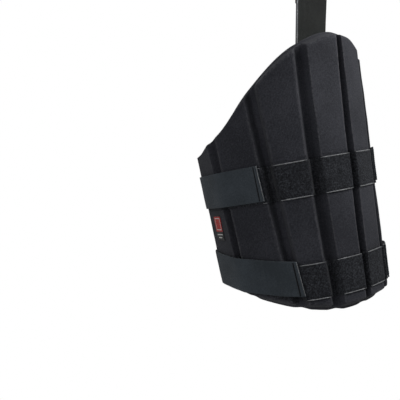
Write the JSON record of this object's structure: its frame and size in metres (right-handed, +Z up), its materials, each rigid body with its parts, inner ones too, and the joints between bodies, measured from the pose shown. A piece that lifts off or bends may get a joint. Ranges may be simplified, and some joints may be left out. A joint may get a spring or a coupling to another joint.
{
  "type": "cricket thigh guard",
  "caption": "Wrap-round moulded foam thigh guard with raised ribs, loop-tape bands, elastic straps that close it behind the thigh, and a belt hanger.",
  "frame": {"origin": "on the thigh's axis, midway between the two loop-tape bands", "axes": "+Z up along the thigh; -Y faces the front of the wrap, beside the hanger; +X towards the outer rear; the wrap is open towards +Y"},
  "size_m": [0.2627, 0.2523, 0.4873],
  "materials": {
    "panel_cloth": "fine black twill laminated on foam, matt",
    "loop_pile": "fuzzy loop tape, matt",
    "hook_tape": "hook tape, satin",
    "strap_elastic": "woven elastic, matt",
    "hanger_webbing": "ribbed elastic webbing, matt",
    "label_weave": "woven label"
  },
  "bodies": {
    "root": {"moulded_panel": "panel_cloth", "upper_loop_band": "loop_pile", "lower_loop_band": "loop_pile", "upper_hook_patch": "hook_tape", "lower_hook_patch": "hook_tape", "upper_strap": "strap_elastic", "lower_strap": "strap_elastic", "hanger_strap": "hanger_webbing", "label_patch": "label_weave"}
  },
  "joints": []
}
